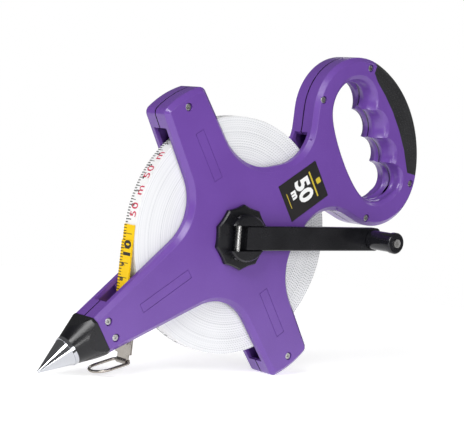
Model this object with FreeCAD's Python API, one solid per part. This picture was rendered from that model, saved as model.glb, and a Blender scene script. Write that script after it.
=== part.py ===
import FreeCAD, Part
import math
import os
from FreeCAD import Vector

# Open-reel long tape measure: two mirrored half shells, a spike, a folding crank.
# The body is drawn in its own axes: U along the body from spike to handle, Y through
# its thickness (the crank is on the -Y side), V across it. V=0 is the mirror line.
# The finished part leans over by BODY_LEAN, standing on its spike and one arm.
BODY_LEAN = 33.81
REEL_CENTRE = Vector(-12.9, 18.25, 100.02)

# half shells
HALF_THICK = 14.0
WALL = 2.8
EDGE_BEVEL = 3.2
EDGE_ROUND = 0.9
HOLE_CENTRE_U = 134.0
GROOVE = 0.9
SPIKE_END_U = -128.0
SPIKE_END_HALF = 14.0
CHAMBER_R = 98.5
CHAMBER_HALF = 7.2
HUB_BOSS_R = 17.5
PANEL_LINE = 0.5
PANEL_DEPTH = 0.35
PANELS = [(1.2, 65.2, 3.8, 19.0), (1.2, -65.2, 3.8, 19.0), (-71.7, 0.0, 22.7, 3.5)]
RIBS = [(-94.0, 16.0), (-58.0, 21.0), (58.0, 23.0), (90.0, 30.0)]

# fasteners of the shells, as (U, V)
SCREWS = [(0.8, 103.3), (0.8, -103.3), (-120.5, 6.5), (-120.5, -6.5),
          (112.0, 50.5), (112.0, -50.5), (164.0, 50.0), (164.0, -50.0)]
SCREW_BOSS_R = 3.6
SCREW_SHANK_R = 1.4
SCREW_HEAD_R = 2.5
SCREW_SEAT = 2.4
SCREW_TIP_Y = 10.5

# tape and reel
COIL_R = 85.0
COIL_BORE_R = 24.05
HUB_R = 24.0
TAPE_HALF = 6.25
TAPE_THICK = 0.42
FRONT_JOURNAL_R = 10.0
REAR_JOURNAL_R = 8.0
HEX_FLATS = 17.0
RUNNING_GAP = 0.05
PART_GAP = 0.33

# spike
SOCKET_END_U = -149.0
SPIKE_R = 10.8
SOCKET_CONE_R = 18.6
SPIKE_TIP_U = -175.7
SHANK_R = 2.6
TONGUE_END_U = -113.0
SPIKE_PIN_U = -117.0
SPIKE_PIN_R = 1.5

# crank, drawn with its arm along +X from the reel's axis
CRANK_LEAN = 2.4
KNOB_R = 23.35
KNOB_BACK_Y = -14.3
KNOB_FRONT_Y = -17.6
BOSS_R = 16.7
BOSS_FRONT_Y = -24.6
SLOT_HALF = 9.0
HINGE_X = -7.0
HINGE_Y = -21.0
HINGE_PIN_R = 1.75
ARM_HALF = 8.65
ARM_THICK = 6.0
GRIP_X = 120.4
ARM_END_X = 128.6
ARM_CORNER = 4.5
ARM_STEP_X = -0.4
GRIP_R = 7.2
GRIP_CAP_R = 7.9
GRIP_START_Y = -24.4
GRIP_CAP_Y = -45.6
GRIP_END_Y = -49.4
GRIP_AXLE_R = 2.5

# tape end: the hanging stretch, the leader, the hook and the ring
RUN_X = -COIL_R - PART_GAP
LEADER_X = RUN_X - TAPE_THICK - PART_GAP
RUN_TOP_Z = 3.0
RUN_END_Z = -68.0
LEADER_TOP_Z = -8.0
HOOK_TOP_Z = -72.5
HOOK_HALF = 8.8
HOOK_SET_IN = 6.8
HOOK_SHEET = 0.7
BARREL_HALF = 5.9
RING_X = LEADER_X - TAPE_THICK / 2 + HOOK_SET_IN
RING_Z = -90.3
RING_WIRE_R = 1.1
RING_LENGTH = 25.7
RING_HALF = 9.3
RING_DROP = 15.6

# Half of the body's edge as a walk from the spike end to the handle's top: a positive
# radius turns left, a negative one right, and a straight has a length only.
EDGE_START_HEADING = 9.0
EDGE_WALK = [("straight", 78.5), ("turn", 35.2, 86.4), ("straight", 47.3), ("turn", -5.0, 12.0),
             ("turn", -71.9, -12.0), ("turn", -5.0, -87.5), ("straight", 38.5), ("turn", 42.6, -20.8),
             ("straight", 9.9), ("turn", 31.6, 55.0), ("straight", 13.0), ("turn", -43.5, -52.0)]
# Finger hole: the ends and bottoms of its four finger grooves and the palm side's curve, at
# the front face and at the middle plane, where the ridges stand further in.
GROOVES_FACE = [(146.0, -47.3), (158.4, -38.0), (154.6, -26.5), (160.8, -16.0), (155.4, -5.0),
                (161.8, 6.8), (155.6, 18.2), (160.9, 31.0), (148.0, 49.0)]
GROOVES_MIDDLE = [(143.2, -48.6), (156.6, -37.6), (151.2, -24.0), (155.4, -13.8), (149.3, -1.8),
                  (155.1, 10.3), (150.3, 22.8), (156.1, 35.4), (146.0, 48.2)]
PALM_FACE = [(132.0, 50.0), (118.5, 40.5), (111.8, 22.0), (110.1, 0.0), (111.8, -22.0),
             (118.5, -39.0), (132.0, -47.4)]
PALM_MIDDLE = [(132.0, 49.0), (119.8, 39.8), (114.4, 22.0), (113.0, 0.0), (114.4, -22.0),
               (119.8, -38.3), (132.0, -46.4)]
HOLE_DEPTHS = [-14.8, -14.0, -13.3, -12.0, -9.5, -6.5, -3.0, 0.6]
HOLE_WALL = [(107.2, 0.0), (109.0, -23.0), (115.9, -41.0), (131.0, -50.4), (147.0, -50.0),
             (159.0, -43.0), (163.6, -30.0), (164.6, 0.0), (163.6, 28.0), (160.0, 43.0),
             (148.0, 52.0), (131.0, 53.0), (115.9, 42.5), (109.0, 23.0)]


def at(u, v, y=0.0):
    return Vector(u, y, v)


def slab(wire, y_low, y_high):
    """Extrude a flat wire drawn at Y=0 between two depths."""
    face = Part.Face(wire)
    face.translate(Vector(0, y_low, 0))
    return face.extrude(Vector(0, y_high - y_low, 0))


def disc(u, v, radius, y_low, y_high):
    return Part.makeCylinder(radius, y_high - y_low, at(u, v, y_low), Vector(0, 1, 0))


def block(u_low, u_high, y_low, y_high, v_low, v_high):
    corner = Vector(u_low, y_low, v_low)
    return Part.makeBox(u_high - u_low, y_high - y_low, v_high - v_low, corner)


def polygon(points):
    corners = [at(u, v) for u, v in points]
    return Part.makePolygon(corners + [corners[0]])


def turn_edge(start, heading, radius, new_heading):
    """Arc that leaves start along heading and bends to new_heading; returns it and its end."""
    side = math.copysign(1.0, radius)
    size = abs(radius)

    def on_arc(angle):
        u = start[0] + side * size * (math.sin(math.radians(angle)) - math.sin(math.radians(heading)))
        v = start[1] - side * size * (math.cos(math.radians(angle)) - math.cos(math.radians(heading)))
        return (u, v)

    end = on_arc(new_heading)
    middle = on_arc((heading + new_heading) / 2)
    return Part.Arc(at(*start), at(*middle), at(*end)).toShape(), end


def outline():
    """The closed edge of the body: one walked half, its mirror image and the spike end."""
    point = (SPIKE_END_U, SPIKE_END_HALF)
    heading = EDGE_START_HEADING
    upper = []
    for step in EDGE_WALK:
        if step[0] == "straight":
            end = (point[0] + step[1] * math.cos(math.radians(heading)),
                   point[1] + step[1] * math.sin(math.radians(heading)))
            upper.append(Part.makeLine(at(*point), at(*end)))
        else:
            edge, end = turn_edge(point, heading, step[1], step[2])
            upper.append(edge)
            heading = step[2]
        point = end
    last_radius = -point[1] / math.cos(math.radians(heading))
    upper.append(turn_edge(point, heading, last_radius, -90.0)[0])
    lower = [edge.mirror(Vector(0, 0, 0), Vector(0, 0, 1)) for edge in upper]
    end = Part.makeLine(at(SPIKE_END_U, -SPIKE_END_HALF), at(SPIKE_END_U, SPIKE_END_HALF))
    return Part.Wire(Part.__sortEdges__(upper + lower + [end]))


def closed_curve(points, y=0.0):
    curve = Part.BSplineCurve()
    curve.interpolate(Points=[at(u, v, y) for u, v in points], PeriodicFlag=True)
    return Part.Wire(curve.toShape())


def between(first, second, share):
    return [(a + (c - a) * share, b + (d - b) * share) for (a, b), (c, d) in zip(first, second)]


def hole_ring(y):
    """Edge of the finger hole at one depth: four arcs with ridges between, and a smooth palm."""
    bulge = 1.0 - min(1.0, abs(y) / HALF_THICK) ** 2
    flare = 0.045 * max(0.0, -y - HALF_THICK + 1.3)
    grooves = between(GROOVES_FACE, GROOVES_MIDDLE, bulge)
    palm = between(PALM_FACE, PALM_MIDDLE, bulge)
    ring = [at(u + (u - HOLE_CENTRE_U) * flare, v + v * flare, y) for u, v in grooves + palm]
    edges = [Part.Arc(*ring[start:start + 3]).toShape() for start in (0, 2, 4, 6)]
    curve = Part.BSplineCurve()
    curve.interpolate(Points=ring[8:] + [ring[0]])
    return Part.Wire(edges + [curve.toShape()])


def finger_plug():
    """What is cut away for the fingers."""
    return Part.makeLoft([hole_ring(y) for y in HOLE_DEPTHS], True, False)


def edges_at(body, y):
    """Edges that lie at one depth, but for those of the flat spike end."""
    return [edge for edge in body.Edges
            if abs(edge.BoundBox.YMin - y) < 1e-3
            and abs(edge.BoundBox.YMax - y) < 1e-3
            and edge.BoundBox.XMax > SPIKE_END_U + 1.0]


def rounded_body():
    """Solid front half of the body: bevelled, softened outer edges and the finger hole."""
    body = slab(outline(), -HALF_THICK, 0.0)
    body = body.makeChamfer(EDGE_BEVEL, edges_at(body, -HALF_THICK))
    body = body.makeFillet(EDGE_ROUND, edges_at(body, -HALF_THICK))
    body = body.makeFillet(EDGE_ROUND, edges_at(body, EDGE_BEVEL - HALF_THICK))
    return body.cut(finger_plug()).Solids[0]


def panel_line(u, v, half_u, half_v):
    """Thin engraved rectangle on the face."""
    depth = PANEL_DEPTH - HALF_THICK
    outer = block(u - half_u, u + half_u, -HALF_THICK - 1, depth, v - half_v, v + half_v)
    half_u = half_u - PANEL_LINE
    half_v = half_v - PANEL_LINE
    return outer.cut(block(u - half_u, u + half_u, -20, 0, v - half_v, v + half_v))


def pad_region():
    """Column through the outer side of the handle, where the rubber pad lies."""
    inner = [(196.0, 60.0), (178.0, 55.0), (165.6, 45.0), (165.7, 37.5), (168.6, 24.0),
             (170.3, 9.5), (170.3, -6.0), (168.6, -22.7), (164.3, -40.4), (176.0, -51.0),
             (196.0, -60.0)]
    return slab(polygon(inner), -HALF_THICK - 1, 1.0)


def inner_space():
    """Hollow inside the front half shell, round the finger hole's own wall."""
    inner_wire = outline().makeOffset2D(-WALL)
    space = slab(inner_wire, WALL - HALF_THICK, 1.0)
    space = space.cut(slab(closed_curve(HOLE_WALL), -HALF_THICK, 1.0))
    space = space.cut(disc(0, 0, HUB_BOSS_R, -HALF_THICK, 1.0))
    for u, v in SCREWS:
        space = space.cut(disc(u, v, SCREW_BOSS_R, -HALF_THICK, 1.0))
    return space


def edge_groove():
    """Half of the thin groove that runs round the body where the shells meet."""
    rim = slab(outline(), -GROOVE / 2, 1.0)
    return rim.cut(slab(outline().makeOffset2D(-GROOVE), -GROOVE, 2.0))


def rib(u, v, half_length):
    """Stiffening rib across an arm, hidden behind the face."""
    return block(u - 0.8, u + 0.8, -HALF_THICK + 1, -CHAMBER_HALF, v - half_length, v + half_length)


def tongue_space():
    """Room for the spike socket's tongue, around the two screw bosses."""
    space = block(SPIKE_END_U - 1, TONGUE_END_U + 0.1, -11.1, 1, -9.3, 9.3)
    for u, v in SCREWS[2:4]:
        space = space.cut(disc(u, v, SCREW_BOSS_R, -12, 2))
    return space


def half_shell():
    """The front half before its own holes: face, walls, bosses, windows and ribs."""
    shell = rounded_body().cut(inner_space())
    shell = shell.cut(disc(0, 0, CHAMBER_R, -CHAMBER_HALF, 1.0))
    window = polygon([(-113.0, 2.0), (-113.0, 30.0), (-90.0, 30.0), (-90.0, 2.0)])
    shell = shell.cut(slab(window, -CHAMBER_HALF, 1.0))
    shell = shell.cut(edge_groove()).cut(tongue_space())
    for panel in PANELS:
        shell = shell.cut(panel_line(*panel))
    ribs = [rib(u, 0.0, half) for u, half in RIBS]
    return shell.fuse(ribs).removeSplitter()


def tape_exit():
    """Slot through the spike arm's lower wall, in standing axes."""
    return Part.makeBox(14.4, 19.4, 34.0, Vector(RUN_X - 4.8, -9.7, -92.0))


def to_body_axes(shape):
    turned = shape.copy()
    turned.rotate(Vector(0, 0, 0), Vector(0, 1, 0), BODY_LEAN)
    return turned


def front_shell():
    shell = half_shell().cut(pad_solid())
    shell = shell.cut(disc(0, 0, FRONT_JOURNAL_R + 3.0, -HALF_THICK - 1, 0))
    shell = shell.cut(disc(0, 0, FRONT_JOURNAL_R + 5.0, -8.4, 0))
    for u, v in SCREWS:
        shell = shell.cut(disc(u, v, SCREW_SHANK_R + 0.1, -HALF_THICK - 1, 1.0))
        shell = shell.cut(disc(u, v, SCREW_HEAD_R + 0.4, -HALF_THICK - 1, SCREW_SEAT - HALF_THICK))
    return shell.cut(to_body_axes(tape_exit()))


def rear_shell():
    shell = half_shell().cut(pad_solid())
    shell = shell.mirror(Vector(0, 0, 0), Vector(0, 1, 0))
    shell = shell.cut(disc(0, 0, REAR_JOURNAL_R + 3.0, 0, HALF_THICK + 1))
    shell = shell.cut(disc(0, 0, REAR_JOURNAL_R + 5.2, 10.0, HALF_THICK + 1))
    shell = shell.cut(disc(0, 0, REAR_JOURNAL_R + 5.2, 0, 8.4))
    for u, v in SCREWS:
        shell = shell.cut(disc(u, v, SCREW_SHANK_R + 0.1, -1.0, SCREW_TIP_Y))
    return shell.cut(to_body_axes(tape_exit()))


def pad_solid():
    """Rubber cover of the handle's front outer side: a skin on its face and its rim."""
    skin = 1.8
    outer = rounded_body().common(pad_region())
    core_wire = outline().makeOffset2D(-skin)
    core = slab(core_wire, skin - HALF_THICK, 2.0)
    return outer.cut(core)


def grip_pad(side):
    pad = pad_solid()
    if side > 0:
        pad = pad.mirror(Vector(0, 0, 0), Vector(0, 1, 0))
    return pad


def spike_socket():
    """Plastic boot: a cone cut by the body's square section, with a tongue inside."""
    start_u = SPIKE_END_U - 0.3
    profile = [(SOCKET_END_U, 0), (SOCKET_END_U, SPIKE_R), (start_u, SOCKET_CONE_R), (start_u, 0)]
    cone = Part.Face(polygon(profile)).revolve(Vector(0, 0, 0), Vector(1, 0, 0), 360)
    square = block(SOCKET_END_U - 1, start_u, -HALF_THICK, HALF_THICK, -SPIKE_END_HALF, SPIKE_END_HALF)
    long_edges = [edge for edge in square.Edges if edge.BoundBox.XLength > 1.0]
    square = square.makeChamfer(EDGE_BEVEL - 0.4, long_edges)
    socket = cone.common(square)
    tongue = block(start_u - 1.0, TONGUE_END_U, -11.0, 11.0, -9.2, 9.2)
    for u, v in SCREWS[2:4]:
        tongue = tongue.cut(disc(u, v, SCREW_BOSS_R + 0.2, -12, 12))
    socket = socket.fuse(tongue).removeSplitter()
    bore = Part.makeCylinder(SHANK_R + 0.05, 40.0, at(SOCKET_END_U - 1, 0), Vector(1, 0, 0))
    socket = socket.cut(bore)
    return socket.cut(disc(SPIKE_PIN_U, 0, SPIKE_PIN_R + 0.05, -12, 12))


def spike_tip():
    nose = 0.8
    profile = [(SPIKE_TIP_U, 0), (SPIKE_TIP_U + 0.2, nose), (SOCKET_END_U - 2.6, SPIKE_R - 0.7),
               (SOCKET_END_U - 2.6, SPIKE_R - 0.1), (SOCKET_END_U, SPIKE_R),
               (SOCKET_END_U, SHANK_R), (TONGUE_END_U - 1.5, SHANK_R), (TONGUE_END_U - 1.5, 0)]
    face = Part.Face(polygon(profile))
    cone = face.revolve(Vector(0, 0, 0), Vector(1, 0, 0), 360)
    return cone.cut(disc(SPIKE_PIN_U, 0, SPIKE_PIN_R + 0.05, -12, 12))


def spike_pin():
    return disc(SPIKE_PIN_U, 0, SPIKE_PIN_R, -10.9, 10.9)


def shell_screws():
    """Eight cross-recess screws, driven from the front."""
    screws = []
    head_top = -HALF_THICK + 0.9
    seat = SCREW_SEAT - HALF_THICK
    for u, v in SCREWS:
        head = disc(u, v, SCREW_HEAD_R, head_top, seat)
        head = head.makeFillet(0.6, [e for e in head.Edges if abs(e.BoundBox.YMax - head_top) < 1e-3])
        screw = head.fuse(disc(u, v, SCREW_SHANK_R, seat, SCREW_TIP_Y - 0.5))
        for wide, tall in ((1.5, 0.35), (0.35, 1.5)):
            cross = block(u - wide, u + wide, head_top - 1, head_top + 1.2, v - tall, v + tall)
            screw = screw.cut(cross)
        screws.append(screw)
    return Part.makeCompound(screws)


def label_plate():
    return block(46.2, 85.2, -HALF_THICK - 0.25, -HALF_THICK, -14.8, 14.6)


def front_bush():
    bush = disc(0, 0, FRONT_JOURNAL_R + 2.9, -HALF_THICK, -8.4)
    bush = bush.fuse(disc(0, 0, FRONT_JOURNAL_R + 4.8, -8.4, -7.2))
    return bush.cut(disc(0, 0, FRONT_JOURNAL_R + RUNNING_GAP, -20, 0))


def rear_bush():
    bush = disc(0, 0, REAR_JOURNAL_R + 2.9, 8.4, 10.0)
    bush = bush.fuse(disc(0, 0, REAR_JOURNAL_R + 5.0, 7.2, 8.4))
    return bush.cut(disc(0, 0, REAR_JOURNAL_R + RUNNING_GAP, 0, 20))


def tape_guides():
    """Two smooth pins that keep the tape in line inside the spike arm."""
    radius = 1.8
    reach = HALF_THICK - WALL
    pins = []
    for x, z in ((RUN_X + radius + 0.5, -62.0), (LEADER_X - radius - 1.8, -61.0)):
        pins.append(Part.makeCylinder(radius, 2 * reach, Vector(x, -reach, z), Vector(0, 1, 0)))
    return Part.makeCompound(pins)


def tape_run():
    """The stretch of tape between the coil and the spike arm."""
    size_z = RUN_TOP_Z - RUN_END_Z
    corner = Vector(RUN_X - TAPE_THICK, -TAPE_HALF, RUN_END_Z)
    return Part.makeBox(TAPE_THICK, 2 * TAPE_HALF, size_z, corner)


def tape_coil():
    coil = disc(0, 0, COIL_R, -TAPE_HALF, TAPE_HALF)
    return coil.cut(disc(0, 0, COIL_BORE_R, -10, 10))


def hexagon(flats, y_low, y_high):
    radius = flats / 2 / math.cos(math.radians(30))
    corners = [(radius * math.cos(math.radians(60 * i)), radius * math.sin(math.radians(60 * i)))
               for i in range(6)]
    return slab(polygon(corners), y_low, y_high)


def reel_hub():
    """Spool core: rim, web with holes, hexagonal socket and a notch for the tape's end."""
    rim_in = HUB_R - 3.0
    hub = disc(0, 0, HUB_R, -TAPE_HALF, TAPE_HALF)
    for y in (-10.0, 1.5):
        hollow = disc(0, 0, rim_in, y, y + 8.5).cut(disc(0, 0, 12.5, y, y + 8.5))
        hub = hub.cut(hollow)
    for i in range(6):
        turn = math.radians(60 * i + 30)
        hub = hub.cut(disc(16.8 * math.cos(turn), 16.8 * math.sin(turn), 2.4, -10, 10))
    hub = hub.cut(hexagon(HEX_FLATS + 0.1, -10, 10))
    return hub.cut(block(-25.0, -20.5, -5.0, 10.0, -1.0, 1.0))


def tape_clip():
    """Wedge that holds the tape's inner end in the hub's notch."""
    return block(-23.9, -20.6, -4.9, TAPE_HALF, -0.9, 0.9)


def drive_shaft():
    shaft = disc(0, 0, FRONT_JOURNAL_R, KNOB_BACK_Y, -6.8)
    shaft = shaft.fuse(hexagon(HEX_FLATS, -6.8, 6.9))
    shaft = shaft.fuse(disc(0, 0, REAR_JOURNAL_R, 6.9, 10.35))
    return shaft.cut(disc(0, 0, 2.05, -8.0, 11.0))


def axle_washer():
    return disc(0, 0, 12.4, 10.35, 11.35).cut(disc(0, 0, 2.3, 10, 12))


def axle_screw():
    head = disc(0, 0, 4.4, 11.35, 13.6)
    head = head.makeFillet(0.7, [e for e in head.Edges if abs(e.BoundBox.YMin - 13.6) < 1e-3])
    screw = head.fuse(disc(0, 0, 2.0, -7.0, 11.35))
    for wide, tall in ((2.8, 0.5), (0.5, 2.8)):
        screw = screw.cut(block(-wide, wide, 12.2, 14.0, -tall, tall))
    return screw


def crank_knob():
    """Ten-sided knob with shallow hollow sides and a round boss slotted for the arm."""
    sides = 10
    hollow = 0.55
    corners = []
    for i in range(sides):
        turn = math.radians(90 + 360 / sides * i)
        corners.append((KNOB_R * math.cos(turn), KNOB_R * math.sin(turn)))
    edges = []
    for i in range(sides):
        a = corners[i]
        b = corners[(i + 1) % sides]
        middle = ((a[0] + b[0]) / 2, (a[1] + b[1]) / 2)
        inward = 1 - hollow / math.hypot(*middle)
        edges.append(Part.Arc(at(*a), at(middle[0] * inward, middle[1] * inward), at(*b)).toShape())
    knob = slab(Part.Wire(edges), KNOB_FRONT_Y, KNOB_BACK_Y)
    front = [e for e in knob.Edges if abs(e.BoundBox.YMax - KNOB_FRONT_Y) < 1e-3]
    knob = knob.makeChamfer(0.9, front)
    boss = disc(0, 0, BOSS_R, BOSS_FRONT_Y, KNOB_FRONT_Y)
    boss = boss.makeChamfer(1.2, [e for e in boss.Edges if abs(e.BoundBox.YMax - BOSS_FRONT_Y) < 1e-3])
    boss = boss.cut(block(-30, 30, -30, KNOB_FRONT_Y, -SLOT_HALF, SLOT_HALF))
    knob = knob.fuse(boss).removeSplitter()
    pin = Part.makeCylinder(HINGE_PIN_R + 0.02, 40, Vector(HINGE_X, HINGE_Y, -20), Vector(0, 0, 1))
    return knob.cut(pin)


def hinge_pin():
    half = math.sqrt(BOSS_R ** 2 - HINGE_X ** 2) - 0.6
    return Part.makeCylinder(HINGE_PIN_R, 2 * half, Vector(HINGE_X, HINGE_Y, -half), Vector(0, 0, 1))


def crank_arm():
    """Flat arm with rounded end corners; its root hooks under the hinge pin from behind."""
    half = ARM_THICK / 2
    front = HINGE_Y - half
    back = HINGE_Y + half
    bar = block(HINGE_X, ARM_END_X, front, back, -ARM_HALF, ARM_HALF)
    corners = [edge for edge in bar.Edges
               if edge.BoundBox.XMin > ARM_END_X - 0.1 and edge.BoundBox.YLength > 1.0]
    bar = bar.makeFillet(ARM_CORNER, corners)
    front_rim = [edge for edge in bar.Edges
                 if edge.BoundBox.YMax < front + 0.1 and edge.BoundBox.XMax > HINGE_X + 1]
    bar = bar.makeChamfer(0.7, front_rim)
    start = Vector(HINGE_X, HINGE_Y, -ARM_HALF)
    knuckle = Part.makeCylinder(half, 2 * ARM_HALF, start, Vector(0, 0, 1))
    arm = bar.fuse(knuckle).removeSplitter()
    step = polygon([(HINGE_X - 4, front - 1), (ARM_STEP_X - 1.2, front - 1), (ARM_STEP_X, HINGE_Y + 1.5),
                    (HINGE_X + 1.6, HINGE_Y + 1.5), (HINGE_X, HINGE_Y + 0.6), (HINGE_X - 4, HINGE_Y - 0.9)])
    step.rotate(Vector(0, 0, 0), Vector(1, 0, 0), -90)
    mouth = Part.Face(step).extrude(Vector(0, 0, 4 * ARM_HALF))
    mouth.translate(Vector(0, 0, -2 * ARM_HALF))
    arm = arm.cut(mouth)
    hollow = block(22.0, GRIP_X - 14.0, back - 2.0, back + 1, 2 - ARM_HALF, ARM_HALF - 2)
    arm = arm.cut(hollow)
    pin = Part.makeCylinder(HINGE_PIN_R + RUNNING_GAP, 40, Vector(HINGE_X, HINGE_Y, -20), Vector(0, 0, 1))
    arm = arm.cut(pin)
    return arm.cut(disc(GRIP_X, 0, GRIP_AXLE_R + 0.01, -30, 0))


def grip_axle():
    """Steel rivet through the arm and the grip, with a head at each end."""
    axle = disc(GRIP_X, 0, GRIP_AXLE_R, GRIP_END_Y - 0.3, HINGE_Y + ARM_THICK / 2)
    head = disc(GRIP_X, 0, 3.2, GRIP_END_Y - 1.1, GRIP_END_Y - 0.3)
    return axle.fuse(head).removeSplitter()


def crank_grip():
    grip = disc(GRIP_X, 0, GRIP_R, GRIP_CAP_Y, GRIP_START_Y)
    return grip.cut(disc(GRIP_X, 0, GRIP_AXLE_R + RUNNING_GAP, -60, 0))


def grip_cap():
    cap = disc(GRIP_X, 0, GRIP_CAP_R, GRIP_END_Y, GRIP_CAP_Y)
    cap = cap.makeFillet(1.0, [e for e in cap.Edges if abs(e.BoundBox.YMax - GRIP_END_Y) < 1e-3])
    return cap.cut(disc(GRIP_X, 0, GRIP_AXLE_R + RUNNING_GAP, -60, 0))


def tape_leader():
    corner = Vector(LEADER_X - TAPE_THICK, -TAPE_HALF, HOOK_TOP_Z + 0.1)
    return Part.makeBox(TAPE_THICK, 2 * TAPE_HALF, LEADER_TOP_Z - corner.z, corner)


def end_hook():
    """Sheet riveted to the tape, cranked inwards and folded down to a barrel for the ring."""
    barrel_in = RING_WIRE_R + PART_GAP
    barrel_out = barrel_in + HOOK_SHEET
    shoulder_z = RING_Z + 5.0
    leaves = []
    plate_x = LEADER_X + HOOK_SET_IN
    for x in (plate_x, plate_x - TAPE_THICK - HOOK_SHEET):
        wide = Vector(x, -HOOK_HALF, shoulder_z)
        narrow = Vector(x, -BARREL_HALF, RING_Z)
        leaves.append(Part.makeBox(HOOK_SHEET, 2 * HOOK_HALF, HOOK_TOP_Z - shoulder_z, wide))
        leaves.append(Part.makeBox(HOOK_SHEET, 2 * BARREL_HALF, shoulder_z - RING_Z, narrow))
    start = Vector(RING_X, -BARREL_HALF, RING_Z)
    barrel = Part.makeCylinder(barrel_out, 2 * BARREL_HALF, start, Vector(0, 1, 0))
    bridge = Part.makeBox(TAPE_THICK, 2 * BARREL_HALF, 2.0, Vector(RING_X - TAPE_THICK / 2, -BARREL_HALF, RING_Z + 1))
    back_x = LEADER_X - TAPE_THICK - HOOK_SHEET
    tab = Part.makeBox(HOOK_SHEET, 2 * TAPE_HALF, 8.5, Vector(back_x, -TAPE_HALF, HOOK_TOP_Z - 0.5))
    shelf = Part.makeBox(plate_x + HOOK_SHEET - back_x, 2 * HOOK_HALF, HOOK_SHEET,
                         Vector(back_x, -HOOK_HALF, HOOK_TOP_Z - HOOK_SHEET))
    hook = leaves[0].fuse(leaves[1:] + [barrel, bridge, tab, shelf]).removeSplitter()
    bore = Part.makeCylinder(barrel_in, 40, Vector(RING_X, -20, RING_Z), Vector(0, 1, 0))
    return hook.cut(bore)


def hook_rivets():
    rivets = []
    for y in (-3.6, 3.6):
        out = HOOK_SHEET + 0.5
        start = Vector(LEADER_X + HOOK_SET_IN + out, y, HOOK_TOP_Z - 4.6)
        head = Part.makeCylinder(1.7, 0.5, start, Vector(-1, 0, 0))
        tail_x = LEADER_X + HOOK_SET_IN - TAPE_THICK - HOOK_SHEET
        tail_at = Vector(tail_x, y, HOOK_TOP_Z - 4.6)
        tail = Part.makeCylinder(1.7, 0.5, tail_at, Vector(-1, 0, 0))
        rivets += [head, tail]
    return Part.makeCompound(rivets)


def pull_ring():
    """Wire ring: a straight bar in the hook's curl, two sides and a round end."""
    bend = 3.0
    half = RING_HALF
    straight = RING_LENGTH - half
    near = bend * (1 - math.cos(math.radians(45)))
    path = [
        Part.makeLine(Vector(0, 0, 0), Vector(0, half - bend, 0)),
        Part.Arc(Vector(0, half - bend, 0), Vector(-near, half - near, 0), Vector(-bend, half, 0)).toShape(),
        Part.makeLine(Vector(-bend, half, 0), Vector(-straight, half, 0)),
        Part.Arc(Vector(-straight, half, 0), Vector(-RING_LENGTH, 0, 0), Vector(-straight, -half, 0)).toShape(),
        Part.makeLine(Vector(-straight, -half, 0), Vector(-bend, -half, 0)),
        Part.Arc(Vector(-bend, -half, 0), Vector(-near, near - half, 0), Vector(0, bend - half, 0)).toShape(),
        Part.makeLine(Vector(0, bend - half, 0), Vector(0, 0, 0)),
    ]
    section = Part.Wire(Part.makeCircle(RING_WIRE_R, Vector(0, 0, 0), Vector(0, 1, 0)))
    ring = Part.Wire(path).makePipeShell([section], True, True)
    ring.rotate(Vector(0, 0, 0), Vector(0, 1, 0), -RING_DROP)
    ring.translate(Vector(RING_X, 0, RING_Z))
    return ring


def lean(shape, angle):
    shape.rotate(Vector(0, 0, 0), Vector(0, 1, 0), -angle)
    return shape


def write(name, shape, angle=0.0):
    placed = lean(shape.copy(), angle)
    placed.translate(REEL_CENTRE)
    placed.exportStep(os.path.join("parts", name + ".step"))
    box = placed.BoundBox
    print(name, placed.isValid(), len(placed.Solids), round(placed.Volume / 1000, 2), "cm3",
          [round(x, 1) for x in (box.XMin, box.XMax, box.YMin, box.YMax, box.ZMin, box.ZMax)])


os.makedirs("parts", exist_ok=True)

write("front_shell", front_shell(), BODY_LEAN)
write("rear_shell", rear_shell(), BODY_LEAN)
write("grip_pad_front", grip_pad(-1), BODY_LEAN)
write("grip_pad_rear", grip_pad(1), BODY_LEAN)
write("spike_socket", spike_socket(), BODY_LEAN)
write("spike_tip", spike_tip(), BODY_LEAN)
write("spike_pin", spike_pin(), BODY_LEAN)
write("shell_screws", shell_screws(), BODY_LEAN)
write("label_plate", label_plate(), BODY_LEAN)
write("front_bush", front_bush())
write("rear_bush", rear_bush())
write("tape_guides", tape_guides())
write("tape_run", tape_run())

write("tape_coil", tape_coil())
write("reel_hub", reel_hub())
write("tape_clip", tape_clip())
write("drive_shaft", drive_shaft())
write("axle_washer", axle_washer())
write("axle_screw", axle_screw())
write("crank_knob", crank_knob(), CRANK_LEAN)
write("hinge_pin", hinge_pin(), CRANK_LEAN)

write("crank_arm", crank_arm(), CRANK_LEAN)
write("grip_axle", grip_axle(), CRANK_LEAN)
write("crank_grip", crank_grip(), CRANK_LEAN)
write("grip_cap", grip_cap(), CRANK_LEAN)

write("tape_leader", tape_leader())
write("end_hook", end_hook())
write("hook_rivets", hook_rivets())
write("pull_ring", pull_ring())
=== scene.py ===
import math

import bpy
from mathutils import Matrix, Vector


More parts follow.
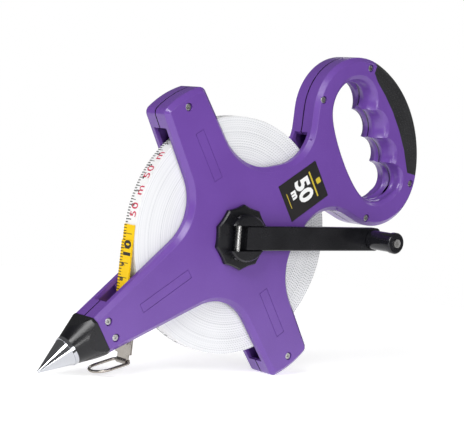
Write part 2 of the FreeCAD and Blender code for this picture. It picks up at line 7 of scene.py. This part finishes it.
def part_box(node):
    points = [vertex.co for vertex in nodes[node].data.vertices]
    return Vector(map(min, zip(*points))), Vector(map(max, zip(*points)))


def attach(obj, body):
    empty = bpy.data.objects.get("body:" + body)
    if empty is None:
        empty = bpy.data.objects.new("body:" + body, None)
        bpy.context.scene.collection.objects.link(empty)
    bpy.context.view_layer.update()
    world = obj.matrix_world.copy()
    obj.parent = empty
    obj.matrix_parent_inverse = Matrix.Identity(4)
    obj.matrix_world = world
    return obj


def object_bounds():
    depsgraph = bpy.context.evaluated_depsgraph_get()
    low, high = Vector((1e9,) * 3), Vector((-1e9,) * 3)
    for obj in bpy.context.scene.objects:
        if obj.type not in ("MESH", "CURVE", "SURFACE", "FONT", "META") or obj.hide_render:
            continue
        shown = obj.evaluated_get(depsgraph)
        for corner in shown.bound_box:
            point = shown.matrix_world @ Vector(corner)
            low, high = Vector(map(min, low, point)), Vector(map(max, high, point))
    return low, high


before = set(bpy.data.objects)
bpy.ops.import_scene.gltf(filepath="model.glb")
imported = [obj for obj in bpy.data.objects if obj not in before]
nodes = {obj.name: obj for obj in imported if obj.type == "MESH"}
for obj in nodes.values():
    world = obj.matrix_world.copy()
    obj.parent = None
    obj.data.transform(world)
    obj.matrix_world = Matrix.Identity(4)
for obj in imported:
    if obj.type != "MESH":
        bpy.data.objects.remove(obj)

cad_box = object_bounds()


# Camera and studio: a long lens in front and to the left, a pale floor, a dim surround that is
# white to the camera, and six soft lights: a broad one high on the left, and weaker ones round it.
scene = bpy.context.scene
camera_data = bpy.data.cameras.new("camera")
camera_data.lens = 111.1
camera_data.sensor_width = 36.0
camera = bpy.data.objects.new("camera", camera_data)
scene.collection.objects.link(camera)
camera.matrix_world = Matrix((
    (0.7777, -0.0561, -0.6261, -0.6520),
    (-0.6191, 0.1049, -0.7783, -0.7787),
    (0.1094, 0.9929, 0.0469, 0.1606),
    (0.0, 0.0, 0.0, 1.0)))
scene.camera = camera
scene.view_settings.view_transform = "Standard"


class Signal:
    """A number carried by a shader socket, for plain sums."""

    def __init__(self, finish, socket):
        self.finish = finish
        self.socket = socket

    def __add__(self, other):
        return self.finish.sum("ADD", self, other)

    __radd__ = __add__

    def __sub__(self, other):
        return self.finish.sum("SUBTRACT", self, other)

    def __rsub__(self, other):
        return self.finish.sum("SUBTRACT", other, self)

    def __mul__(self, other):
        return self.finish.sum("MULTIPLY", self, other)

    __rmul__ = __mul__

    def __truediv__(self, other):
        return self.finish.sum("DIVIDE", self, other)

    def __gt__(self, other):
        return self.finish.sum("GREATER_THAN", self, other)

    def __lt__(self, other):
        return self.finish.sum("LESS_THAN", self, other)


class Finish:
    """A material in the making: its nodes, and its surface at the end."""

    def __init__(self, name):
        self.material = bpy.data.materials.new(name)
        self.material.use_nodes = True
        self.tree = self.material.node_tree
        self.tree.nodes.clear()
        self.place = self.node("ShaderNodeTexCoord", {}, {}, "Object")

    def node(self, kind, settings, inputs, output=0):
        """Adds a node, with its settings first and then its inputs' values or links."""
        made = self.tree.nodes.new(kind)
        for name, value in settings.items():
            setattr(made, name, value)
        for name, value in inputs.items():
            if isinstance(value, Signal):
                self.tree.links.new(value.socket, made.inputs[name])
            else:
                made.inputs[name].default_value = value
        return Signal(self, made.outputs[output])

    def sum(self, operation, *values):
        return self.node("ShaderNodeMath", {"operation": operation}, dict(enumerate(values)))

    def axes(self):
        """The X, Y and Z of the place on the object, as three numbers."""
        split = self.node("ShaderNodeSeparateXYZ", {}, {0: self.place})
        outputs = split.socket.node.outputs
        return [Signal(self, outputs[name]) for name in "XYZ"]

    def vector(self, x, y, z):
        return self.node("ShaderNodeCombineXYZ", {}, {0: x, 1: y, 2: z})

    def noise(self, scale, detail=2.0, vector=None):
        """Cloudy noise, so many waves to the metre."""
        inputs = {"Vector": vector or self.place, "Scale": scale, "Detail": detail}
        return self.node("ShaderNodeTexNoise", {}, inputs, "Fac")

    def spread(self, value, low, high, new_low=0.0, new_high=1.0):
        """A value's range, stretched to a new one and held inside it."""
        inputs = {0: value, 1: low, 2: high, 3: new_low, 4: new_high}
        return self.node("ShaderNodeMapRange", {"clamp": True}, inputs)

    def mix(self, amount, first, second):
        """A colour between two."""
        settings = {"data_type": "RGBA"}
        return self.node("ShaderNodeMix", settings, {0: amount, 6: first, 7: second}, 2)

    def bump(self, height, distance, strength):
        inputs = {"Height": height, "Distance": distance, "Strength": strength}
        return self.node("ShaderNodeBump", {}, inputs)

    def surface(self, **inputs):
        """The one shader of the finish; its inputs are named with _ for each space."""
        named = {name.replace("_", " "): value for name, value in inputs.items()}
        shader = self.node("ShaderNodeBsdfPrincipled", {}, named)
        output = self.tree.nodes.new("ShaderNodeOutputMaterial")
        self.tree.links.new(shader.socket, output.inputs["Surface"])
        return self.material


FLOOR_SIZE = 1.3
FLOOR_GAP = 0.0002
bpy.ops.object.select_all(action="DESELECT")
bpy.ops.mesh.primitive_plane_add(size=FLOOR_SIZE, location=(0.0, 0.0, cad_box[0][2] - FLOOR_GAP))
floor = bpy.context.object
floor.name = "floor"
pale = Finish("pale_floor")
pale_grain = pale.noise(3.0)
floor.data.materials.append(pale.surface(
    Base_Color=pale.mix(pale_grain, (0.80, 0.80, 0.80, 1.0), (0.82, 0.82, 0.82, 1.0)),
    Roughness=0.9,
    Specular_IOR_Level=0.1,
    Emission_Color=(1.0, 1.0, 1.0, 1.0),
    Emission_Strength=0.62))

world = bpy.data.worlds.new("surround")
world.use_nodes = True
surround = world.node_tree
surround.nodes.clear()
light_path = surround.nodes.new("ShaderNodeLightPath")
dim = surround.nodes.new("ShaderNodeBackground")
dim.inputs["Color"].default_value = (1.0, 1.0, 1.0, 1.0)
dim.inputs["Strength"].default_value = 0.13
white = surround.nodes.new("ShaderNodeBackground")
white.inputs["Color"].default_value = (1.0, 1.0, 1.0, 1.0)
white.inputs["Strength"].default_value = 1.0
either = surround.nodes.new("ShaderNodeMixShader")
surround.links.new(light_path.outputs["Is Camera Ray"], either.inputs["Fac"])
surround.links.new(dim.outputs["Background"], either.inputs[1])
surround.links.new(white.outputs["Background"], either.inputs[2])
world_output = surround.nodes.new("ShaderNodeOutputWorld")
surround.links.new(either.outputs["Shader"], world_output.inputs["Surface"])
scene.world = world


MIDDLE = Vector((0.0, 0.0, 0.1))


def soft_light(name, place, width, height, power):
    """A rectangle of light, aimed at the object's middle."""
    lamp = bpy.data.lights.new(name, "AREA")
    lamp.shape = "RECTANGLE"
    lamp.size = width
    lamp.size_y = height
    lamp.energy = power
    thing = bpy.data.objects.new(name, lamp)
    thing.location = place
    thing.rotation_euler = (MIDDLE - Vector(place)).to_track_quat("-Z", "Y").to_euler()
    scene.collection.objects.link(thing)


soft_light("key", (-1.3, -0.7, 1.3), 0.9, 0.9, 26.0)
soft_light("front", (-0.1, -2.2, 0.9), 1.2, 0.7, 12.0)
soft_light("edge_strip", (-0.95, -1.7, 0.35), 0.16, 1.3, 9.0)
soft_light("left", (-1.9, 0.6, 0.25), 0.5, 0.9, 4.5)
soft_light("right", (1.8, -0.7, 0.9), 0.3, 1.2, 4.0)
soft_light("back", (1.5, 1.2, 1.4), 0.9, 0.7, 6.0)


# Frame shells: two mirrored halves moulded in purple ABS and screwed together on the middle
# plane. The finish has a fine moulded grain, and a dark line where the halves meet.
reel_low, reel_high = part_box("tape_coil")
REEL_X = (reel_low[0] + reel_high[0]) / 2
REEL_Y = (reel_low[1] + reel_high[1]) / 2
REEL_Z = (reel_low[2] + reel_high[2]) / 2
LEAN = math.radians(33.81)
SEAM_HALF = 0.0006


def on_body(u, v):
    """A point of the leaning body's middle plane, from millimetres along it and across it."""
    x = u * math.cos(LEAN) - v * math.sin(LEAN)
    z = u * math.sin(LEAN) + v * math.cos(LEAN)
    return Vector((REEL_X + x / 1000, REEL_Y, REEL_Z + z / 1000))


def coat(names, material):
    """Gives CAD nodes their finish."""
    for name in names:
        thing = nodes[name]
        if not thing.material_slots:
            thing.data.materials.append(material)
        for holder in thing.material_slots:
            holder.material = material


purple = Finish("purple_shell")
purple_grain = purple.noise(1900.0, 3.0)
purple_cloud = purple.noise(26.0, 3.0)
purple_depth = purple.axes()[1] - REEL_Y
purple_seam = (purple_depth > -SEAM_HALF) * (purple_depth < SEAM_HALF)
purple_tone = purple.mix(
    purple.spread(purple_cloud, 0.3, 0.7),
    (0.128, 0.052, 0.292, 1.0),
    (0.142, 0.060, 0.322, 1.0))
purple_tone = purple.mix(purple_seam * 0.94, purple_tone, (0.010, 0.004, 0.024, 1.0))
purple.surface(
    Base_Color=purple_tone,
    Roughness=purple.spread(purple_grain, 0.3, 0.7, 0.20, 0.28),
    Specular_IOR_Level=0.5,
    Normal=purple.bump(purple_grain, 0.00003, 0.4))
coat(["front_shell", "rear_shell"], purple.material)


# Grip pads: charcoal rubber skins over the outer side of the handle, one on each shell, with
# a matt face.
rubber = Finish("grip_rubber")
rubber_grain = rubber.noise(1500.0, 4.0)
rubber_dust = rubber.noise(60.0, 4.0)
rubber.surface(
    Base_Color=rubber.mix(
        rubber.spread(rubber_dust, 0.4, 0.8),
        (0.0080, 0.0080, 0.0095, 1.0),
        (0.0150, 0.0150, 0.0170, 1.0)),
    Roughness=rubber.spread(rubber_grain, 0.3, 0.7, 0.5, 0.66),
    Specular_IOR_Level=0.4,
    Normal=rubber.bump(rubber_grain, 0.00008, 0.6))
coat(["grip_pad_front", "grip_pad_rear"], rubber.material)


# Pad studs: small domes moulded on each pad's face, in five staggered rows that follow the
# handle's outer curve. One is modelled and copied.
STUD_R = 0.00072
STUD_HIGH = 0.00050
STUD_ROWS = (67.6, 70.3, 73.0, 75.7, 78.4)
STUD_STEPS = range(-13, 17)
STUD_PITCH = 2.1
HANDLE_CENTRE_U = 106.0
PAD_EDGE_R = 66.8
PAD_EDGE_GROWTH = 20.0


def joined(things):
    """Makes one object of many."""
    bpy.ops.object.select_all(action="DESELECT")
    for thing in things:
        thing.select_set(True)
    bpy.context.view_layer.objects.active = things[0]
    if len(things) > 1:
        bpy.ops.object.join()
    return bpy.context.object


def finished(thing, name, body, material):
    """Names a piece, gives it its finish and hands it to its body."""
    thing.name = name
    thing.data.name = name
    thing.data.materials.clear()
    thing.data.materials.append(material)
    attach(thing, body)


def one_stud():
    """A low dome at the origin, its top towards -Y."""
    bpy.ops.object.select_all(action="DESELECT")
    bpy.ops.mesh.primitive_uv_sphere_add(segments=10, ring_count=6, radius=STUD_R)
    stud = bpy.context.object
    bpy.ops.object.mode_set(mode="EDIT")
    bpy.ops.mesh.select_all(action="SELECT")
    bpy.ops.mesh.bisect(plane_co=(0.0, 0.0, 0.0), plane_no=(0.0, 0.0, 1.0),
                        use_fill=True, clear_inner=True)
    bpy.ops.object.mode_set(mode="OBJECT")
    for corner in stud.data.vertices:
        corner.co = (corner.co.x, -corner.co.z * STUD_HIGH / STUD_R, corner.co.y)
    bpy.ops.object.shade_smooth_by_angle(angle=math.radians(50))
    return stud


def pad_studs(name, pad, side):
    """The studs of one pad; side is -1 on the front face and 1 on the rear one."""
    pad_low, pad_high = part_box(pad)
    face_y = pad_low[1] if side < 0 else pad_high[1]
    pattern = one_stud()
    studs = []
    for row, radius in enumerate(STUD_ROWS):
        for step in STUD_STEPS:
            turn = math.radians(STUD_PITCH * (step + 0.5 * (row % 2)))
            if radius < PAD_EDGE_R + PAD_EDGE_GROWTH * turn * turn:
                continue
            stud = pattern.copy()
            stud.data = pattern.data.copy()
            scene.collection.objects.link(stud)
            place = on_body(HANDLE_CENTRE_U + radius * math.cos(turn), radius * math.sin(turn))
            for corner in stud.data.vertices:
                dome = corner.co.copy()
                corner.co = (dome.x + place.x, face_y - side * dome.y, dome.z + place.z)
            if side > 0:
                stud.data.flip_normals()
            studs.append(stud)
    bpy.data.objects.remove(pattern)
    finished(joined(studs), name, "frame", rubber.material)


pad_studs("pad_studs_front", "grip_pad_front", -1)
pad_studs("pad_studs_rear", "grip_pad_rear", 1)


# Black mouldings: the spike socket, the crank's knob and arm, the hub and its shaft are satin
# glass-filled nylon. The crank's grip and its cap are a glossier plastic.
black = Finish("black_plastic")
black_grain = black.noise(1700.0, 3.0)
black_rub = black.noise(45.0, 4.0)
black.surface(
    Base_Color=black.mix(
        black.spread(black_rub, 0.35, 0.75),
        (0.0045, 0.0045, 0.0060, 1.0),
        (0.0090, 0.0090, 0.0115, 1.0)),
    Roughness=black.spread(black_rub, 0.3, 0.7, 0.22, 0.30),
    Specular_IOR_Level=0.42,
    Normal=black.bump(black_grain, 0.00003, 0.5))
coat(["spike_socket", "crank_knob", "crank_arm", "reel_hub", "drive_shaft"], black.material)
gloss = Finish("glossy_grip")
gloss_grain = gloss.noise(500.0, 2.0)
gloss.surface(
    Base_Color=gloss.mix(gloss_grain, (0.006, 0.006, 0.008, 1.0), (0.011, 0.011, 0.014, 1.0)),
    Roughness=gloss.spread(gloss_grain, 0.3, 0.7, 0.12, 0.18),
    Normal=gloss.bump(gloss_grain, 0.00002, 0.4))
coat(["crank_grip", "grip_cap"], gloss.material)


# Spike tip: a turned steel cone, polished bright, with faint turning rings.
chrome = Finish("polished_steel")
chrome_x, _, chrome_z = chrome.axes()
chrome_u = chrome_x * math.cos(LEAN) + chrome_z * math.sin(LEAN)
chrome_rings = chrome.noise(1.0, 2.0, chrome.vector(chrome_u * 2600.0, 0.0, 0.0))
chrome.surface(
    Base_Color=chrome.mix(chrome_rings, (0.48, 0.49, 0.52, 1.0), (0.60, 0.61, 0.64, 1.0)),
    Metallic=1.0,
    Roughness=chrome.spread(chrome_rings, 0.3, 0.7, 0.06, 0.13),
    Normal=chrome.bump(chrome_rings, 0.00002, 0.3))
coat(["spike_tip"], chrome.material)


# Plated steel: the screws, pins, tape guides, grip axle, and the reel axle's washer and screw,
# all in dull zinc.
zinc = Finish("zinc_steel")
zinc_cloud = zinc.noise(220.0, 5.0)
zinc_grain = zinc.noise(2400.0, 2.0)
zinc.surface(
    Base_Color=zinc.mix(zinc_cloud, (0.47, 0.46, 0.45, 1.0), (0.66, 0.66, 0.66, 1.0)),
    Metallic=1.0,
    Roughness=zinc.spread(zinc_cloud, 0.3, 0.7, 0.22, 0.38),
    Normal=zinc.bump(zinc_grain, 0.00003, 0.4))
coat(["spike_pin", "tape_guides", "axle_washer", "axle_screw", "hinge_pin", "grip_axle",
      "shell_screws"], zinc.material)


# Hook, rivets and ring: nickel-plated steel, warmer and darker than the zinc, with rubbed
# patches.
nickel = Finish("nickel_steel")
nickel_cloud = nickel.noise(160.0, 5.0)
nickel_grain = nickel.noise(2100.0, 2.0)
nickel.surface(
    Base_Color=nickel.mix(nickel_cloud, (0.27, 0.245, 0.22, 1.0), (0.50, 0.47, 0.43, 1.0)),
    Metallic=1.0,
    Roughness=nickel.spread(nickel_cloud, 0.3, 0.7, 0.18, 0.32),
    Normal=nickel.bump(nickel_grain, 0.00003, 0.4))
coat(["end_hook", "hook_rivets", "pull_ring"], nickel.material)


# Bushes and tape clip: small natural nylon mouldings inside the reel.
nylon = Finish("bush_plastic")
nylon_grain = nylon.noise(900.0, 3.0)
nylon.surface(
    Base_Color=nylon.mix(nylon_grain, (0.68, 0.66, 0.60, 1.0), (0.80, 0.79, 0.74, 1.0)),
    Roughness=0.55,
    Normal=nylon.bump(nylon_grain, 0.00003, 0.5))
coat(["front_bush", "rear_bush", "tape_clip"], nylon.material)


# Label: a black film plate stuck on the face beside the handle.
film = Finish("label_film")
film_grain = film.noise(700.0, 3.0)
film.surface(
    Base_Color=film.mix(film_grain, (0.010, 0.0085, 0.0095, 1.0), (0.016, 0.014, 0.015, 1.0)),
    Roughness=film.spread(film_grain, 0.3, 0.7, 0.28, 0.36),
    Normal=film.bump(film_grain, 0.00002, 0.4))
coat(["label_plate"], film.material)


# Wound tape: white fibreglass tape 12.5 mm wide and 0.42 mm thick. The coil's sides show the
# edges of its turns as rings and dots, and the outer turn has 2 mm ticks along its rear edge.
TICK = 0.002
COIL_R = 0.085
COIL_SKIN = 0.0002
RING_STEP = 0.00168
DOT_STEP = 0.0021
wound = Finish("tape_white")
wound_x, wound_y, wound_z = wound.axes()
wound_x = wound_x - REEL_X
wound_y = wound_y - REEL_Y
wound_z = wound_z - REEL_Z
wound_r = wound.sum("SQRT", wound_x * wound_x + wound_z * wound_z)
wound_angle = wound.sum("ARCTAN2", wound_z, wound_x)
wound_run = (math.pi - wound_angle) * COIL_R
wound_outside = wound_r > COIL_R - COIL_SKIN
wound_tick = wound.sum("FRACT", wound_run / TICK) < 0.42
wound_tenth = wound.sum("FRACT", wound_run / (TICK * 5)) < 0.05
wound_reach = 0.0034 - wound_tenth * 0.0030
wound_mark = wound_tick * (wound_y > wound_reach) * wound_outside
wound_turn = wound_r / RING_STEP
wound_layer = wound.sum("FLOOR", wound_turn)
wound_within = wound.sum("FRACT", wound_turn)
wound_shift = wound.node("ShaderNodeTexWhiteNoise", {"noise_dimensions": "1D"},
                         {"W": wound_layer}, "Value")
wound_beat = wound.sum("FRACT", wound_angle * wound_r / DOT_STEP + wound_shift * 7.0 + 40.0)
wound_patch = wound.noise(34.0, 2.0)
wound_across = wound.spread(wound_x, -0.05, 0.06, 0.06, 0.85)
wound_side = wound_across * wound.spread(wound_patch, 0.3, 0.6, 0.4, 1.0)
wound_dots = (wound_within < 0.42) * (wound_beat < 0.45) * wound_side * (1.0 - wound_outside)
wound_line = (wound_within > 0.80) * (1.0 - wound_outside)
wound_line = wound_line * wound.spread(wound_shift, 0.30, 0.95, 0.03, 0.50)
wound_rings = wound.noise(1.0, 3.0, wound.vector(wound_r * 1600.0, 0.0, 0.0))
wound_fine = wound.noise(1.0, 1.0, wound.vector(wound_r * 7000.0, wound_angle * 0.6, 0.0))
wound_tone = wound.mix(
    wound.spread(wound_rings, 0.35, 0.65),
    (0.66, 0.67, 0.69, 1.0),
    (0.84, 0.845, 0.855, 1.0))
wound_tone = wound.mix(wound_outside, wound_tone, (0.80, 0.80, 0.80, 1.0))
wound_tone = wound.mix(wound_line, wound_tone, (0.34, 0.35, 0.38, 1.0))
wound_tone = wound.mix(wound_dots * 0.92, wound_tone, (0.13, 0.13, 0.15, 1.0))
wound_tone = wound.mix(wound_mark * 0.9, wound_tone, (0.03, 0.03, 0.03, 1.0))
wound.surface(
    Base_Color=wound_tone,
    Roughness=wound.spread(wound_fine, 0.3, 0.7, 0.42, 0.6),
    Normal=wound.bump(wound_fine * (1.0 - wound_outside), 0.00012, 0.7))
coat(["tape_coil"], wound.material)


# Free tape: the yellow last stretch, from the coil down to the hook, with the same ticks on
# its rear edge.
free = Finish("tape_yellow")
_, free_y, free_z = free.axes()
free_run = free_z - REEL_Z
free_tick = free.sum("FRACT", free_run / TICK + 100.0) < 0.36
free_tenth = free.sum("FRACT", (free_run + 0.0135) / (TICK * 5) + 100.0) < 0.05
free_mark = free_tick * (free_y > REEL_Y + 0.0030)
free_line = free_tenth * (free_y > REEL_Y - 0.0040)
free_cloud = free.noise(300.0, 3.0)
free_weave = free.noise(1.0, 1.0, free.vector(free_y * 2600.0, free_z * 300.0, 0.0))
free_tone = free.mix(free_cloud, (0.80, 0.50, 0.002, 1.0), (0.86, 0.56, 0.003, 1.0))
free_tone = free.mix(free.sum("MAXIMUM", free_mark, free_line) * 0.92, free_tone,
                     (0.03, 0.025, 0.01, 1.0))
free.surface(
    Base_Color=free_tone,
    Roughness=free.spread(free_weave, 0.3, 0.7, 0.42, 0.56),
    Specular_IOR_Level=0.25,
    Normal=free.bump(free_weave, 0.00003, 0.4))
coat(["tape_run", "tape_leader"], free.material)


# Printed figures: black and red on the tape, white on the label. Each is a letter's outline
# made a flat mesh, which lies an ink's thickness off the surface.
INK = 0.00004


def ink(name, tone):
    """Printing ink of one tone, faintly speckled."""
    printed = Finish(name)
    speckle = printed.noise(1500.0, 2.0)
    darker = tuple(0.86 * part for part in tone)
    return printed.surface(
        Base_Color=printed.mix(speckle, darker + (1.0,), tone + (1.0,)),
        Roughness=printed.spread(speckle, 0.3, 0.7, 0.4, 0.52))


black_ink = ink("black_ink", (0.014, 0.012, 0.010))
red_ink = ink("red_ink", (0.60, 0.035, 0.09))
white_ink = ink("white_ink", (0.86, 0.86, 0.86))
yellow_ink = ink("yellow_ink", (0.60, 0.46, 0.03))


def figure(text, tall, bold):
    """A number as a flat mesh at the origin, so many metres tall, centred."""
    curve = bpy.data.curves.new("figure", "FONT")
    curve.body = text
    curve.size = tall / 0.7
    curve.offset = bold
    curve.align_x = "CENTER"
    curve.align_y = "CENTER"
    curve.resolution_u = 3
    thing = bpy.data.objects.new("figure", curve)
    scene.collection.objects.link(thing)
    bpy.ops.object.select_all(action="DESELECT")
    thing.select_set(True)
    bpy.context.view_layer.objects.active = thing
    bpy.ops.object.convert(target="MESH")
    return bpy.context.object


def wrapped(text, tall, run, across, bold):
    """A figure bent round the coil, so far along the tape from where it leaves the coil."""
    thing = figure(text, tall, bold)
    for corner in thing.data.vertices:
        along = run + corner.co.x
        turn = math.pi - along / COIL_R
        radius = COIL_R + INK
        corner.co = (REEL_X + radius * math.cos(turn),
                     REEL_Y + across + corner.co.y,
                     REEL_Z + radius * math.sin(turn))
    return thing


COIL_FIGURES = 52
FIGURE_STEP = 0.010
FIGURE_START = 0.0065
SMALL_FIGURE_ACROSS = 0.0016
coil_figures = []
for count in range(COIL_FIGURES):
    run = FIGURE_START + FIGURE_STEP * count
    sign = str(count % 9 + 1)
    coil_figures.append(wrapped(sign, 0.0032, run, SMALL_FIGURE_ACROSS, 0.00012))
finished(joined(coil_figures), "coil_figures", "reel", black_ink)
RED_START = 0.0105
RED_STEP = 0.0056
red_figures = []
for count, sign in enumerate("50 m 50 m"):
    if sign != " ":
        run = RED_START + RED_STEP * count
        red_figures.append(wrapped(sign, 0.0068, run, -0.0012, 0.00008))
finished(joined(red_figures), "coil_metre_figures", "reel", red_ink)

leader_low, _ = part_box("tape_leader")
leader_signs = [("0", 0.0074, -0.0105, -0.0018, 0.00050),
                ("1", 0.0074, -0.0170, -0.0018, 0.00060)]
for count, sign in enumerate("9876"):
    drop = -0.0245 - FIGURE_STEP * count
    leader_signs.append((sign, 0.0034, drop, SMALL_FIGURE_ACROSS, 0.00022))
leader_figures = []
for sign, tall, drop, across, bold in leader_signs:
    thing = figure(sign, tall, bold)
    for corner in thing.data.vertices:
        corner.co = (leader_low[0] - INK,
                     REEL_Y + across + corner.co.y,
                     REEL_Z + drop + corner.co.x)
    leader_figures.append(thing)
finished(joined(leader_figures), "leader_figures", "tape_end", black_ink)


# Label print: the length in white, with a plain yellow square and two yellow rules, all
# printed on the film.
plate_low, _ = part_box("label_plate")


def on_label(thing, u, v):
    """Lays a flat figure on the label: it reads across the body, its top to the handle."""
    for corner in thing.data.vertices:
        place = on_body(u + corner.co.y * 1000, v - corner.co.x * 1000)
        corner.co = (place.x, plate_low[1] - INK, place.z)
    return thing


def panel(wide, tall, round_by=0.0006):
    """A flat panel with round corners."""
    bpy.ops.object.select_all(action="DESELECT")
    bpy.ops.mesh.primitive_plane_add(size=1.0)
    thing = bpy.context.object
    for corner in thing.data.vertices:
        corner.co.x *= wide
        corner.co.y *= tall
    bpy.ops.object.mode_set(mode="EDIT")
    bpy.ops.mesh.select_all(action="SELECT")
    bpy.ops.mesh.bevel(offset=round_by, segments=4, affect="VERTICES")
    bpy.ops.object.mode_set(mode="OBJECT")
    return thing


label_figures = [on_label(figure("50", 0.0128, 0.0007), 66.0, 0.8),
                 on_label(figure("m", 0.0058, 0.0005), 57.0, 1.8)]
finished(joined(label_figures), "label_figures", "frame", white_ink)
label_panels = [on_label(panel(0.0042, 0.0042), 81.4, 0.0),
                on_label(panel(0.0205, 0.0013, 0.0003), 76.2, 0.0),
                on_label(panel(0.0120, 0.0006, 0.0002), 50.4, 0.0)]
finished(joined(label_panels), "label_panels", "frame", yellow_ink)
